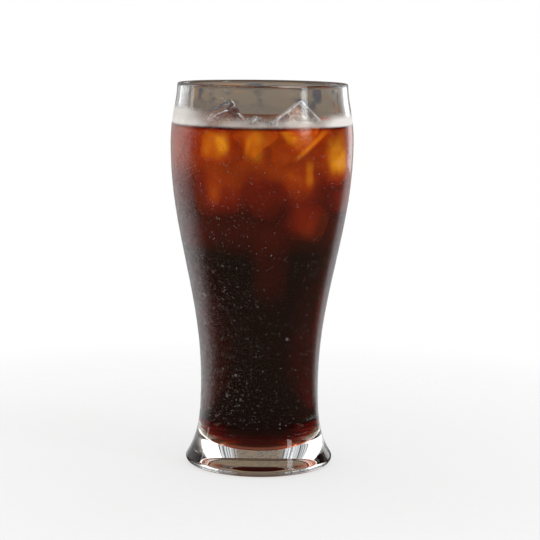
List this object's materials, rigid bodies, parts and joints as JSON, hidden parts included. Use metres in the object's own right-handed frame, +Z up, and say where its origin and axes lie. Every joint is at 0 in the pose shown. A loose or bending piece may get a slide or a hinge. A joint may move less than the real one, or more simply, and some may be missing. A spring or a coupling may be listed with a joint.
{
  "type": "iced americano",
  "caption": "Tall waisted, footed glass of iced black coffee, with melting ice cubes breaking the surface below the rim.",
  "frame": {"origin": "on the glass's axis, in the plane of the contact ring that it stands on", "axes": "+Z up the glass's axis, towards the lip; -Y towards the viewer; +X to the viewer's right"},
  "size_m": [0.0798, 0.0798, 0.168],
  "materials": {
    "clear_glass": "clear, fire-polished at the lip, with fine condensation outside from the liquid line to the foot",
    "coffee": "clear dark liquid, amber where it is thin",
    "ice": "wet, clear ice, cloudy in the middle"
  },
  "bodies": {
    "root": {"glass": "clear_glass", "coffee": "coffee", "ice_left": "ice", "ice_middle": "ice", "ice_right": "ice", "ice_back": "ice"}
  },
  "joints": []
}
